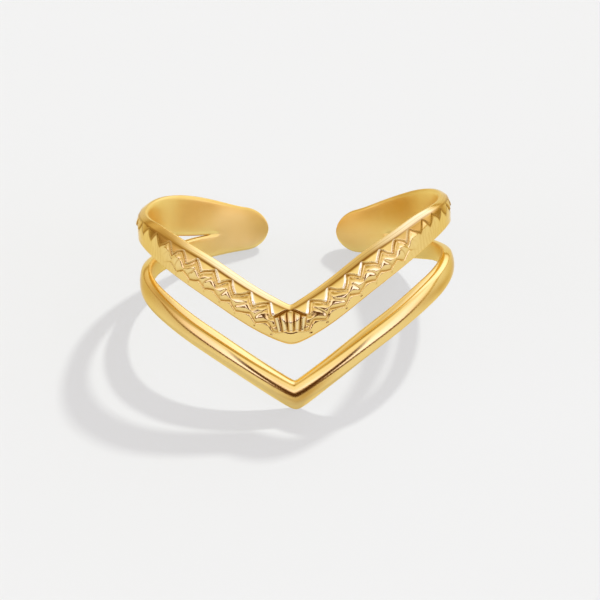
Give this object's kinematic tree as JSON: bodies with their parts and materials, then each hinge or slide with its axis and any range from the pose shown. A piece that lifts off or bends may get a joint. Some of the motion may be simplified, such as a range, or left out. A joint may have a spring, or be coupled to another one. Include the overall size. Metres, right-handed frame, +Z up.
{
  "type": "open double chevron finger ring",
  "caption": "Adjustable open finger ring: a zigzag-relief V band above a plain domed V band, running back into flat rounded pads with a gap between them.",
  "frame": {"origin": "centre of the bounding box at its lowest level, on the surface that the ring lies on", "axes": "+Z up from that surface, -Y toward the points of the V bands, +Y toward the gap between the pads, +X to the wearer-facing right of the front"},
  "size_m": [0.0192, 0.0202, 0.0088],
  "materials": {
    "polished_gold": "polished, gold tone"
  },
  "bodies": {
    "root": {"chevron_ring": "polished_gold"}
  },
  "joints": []
}
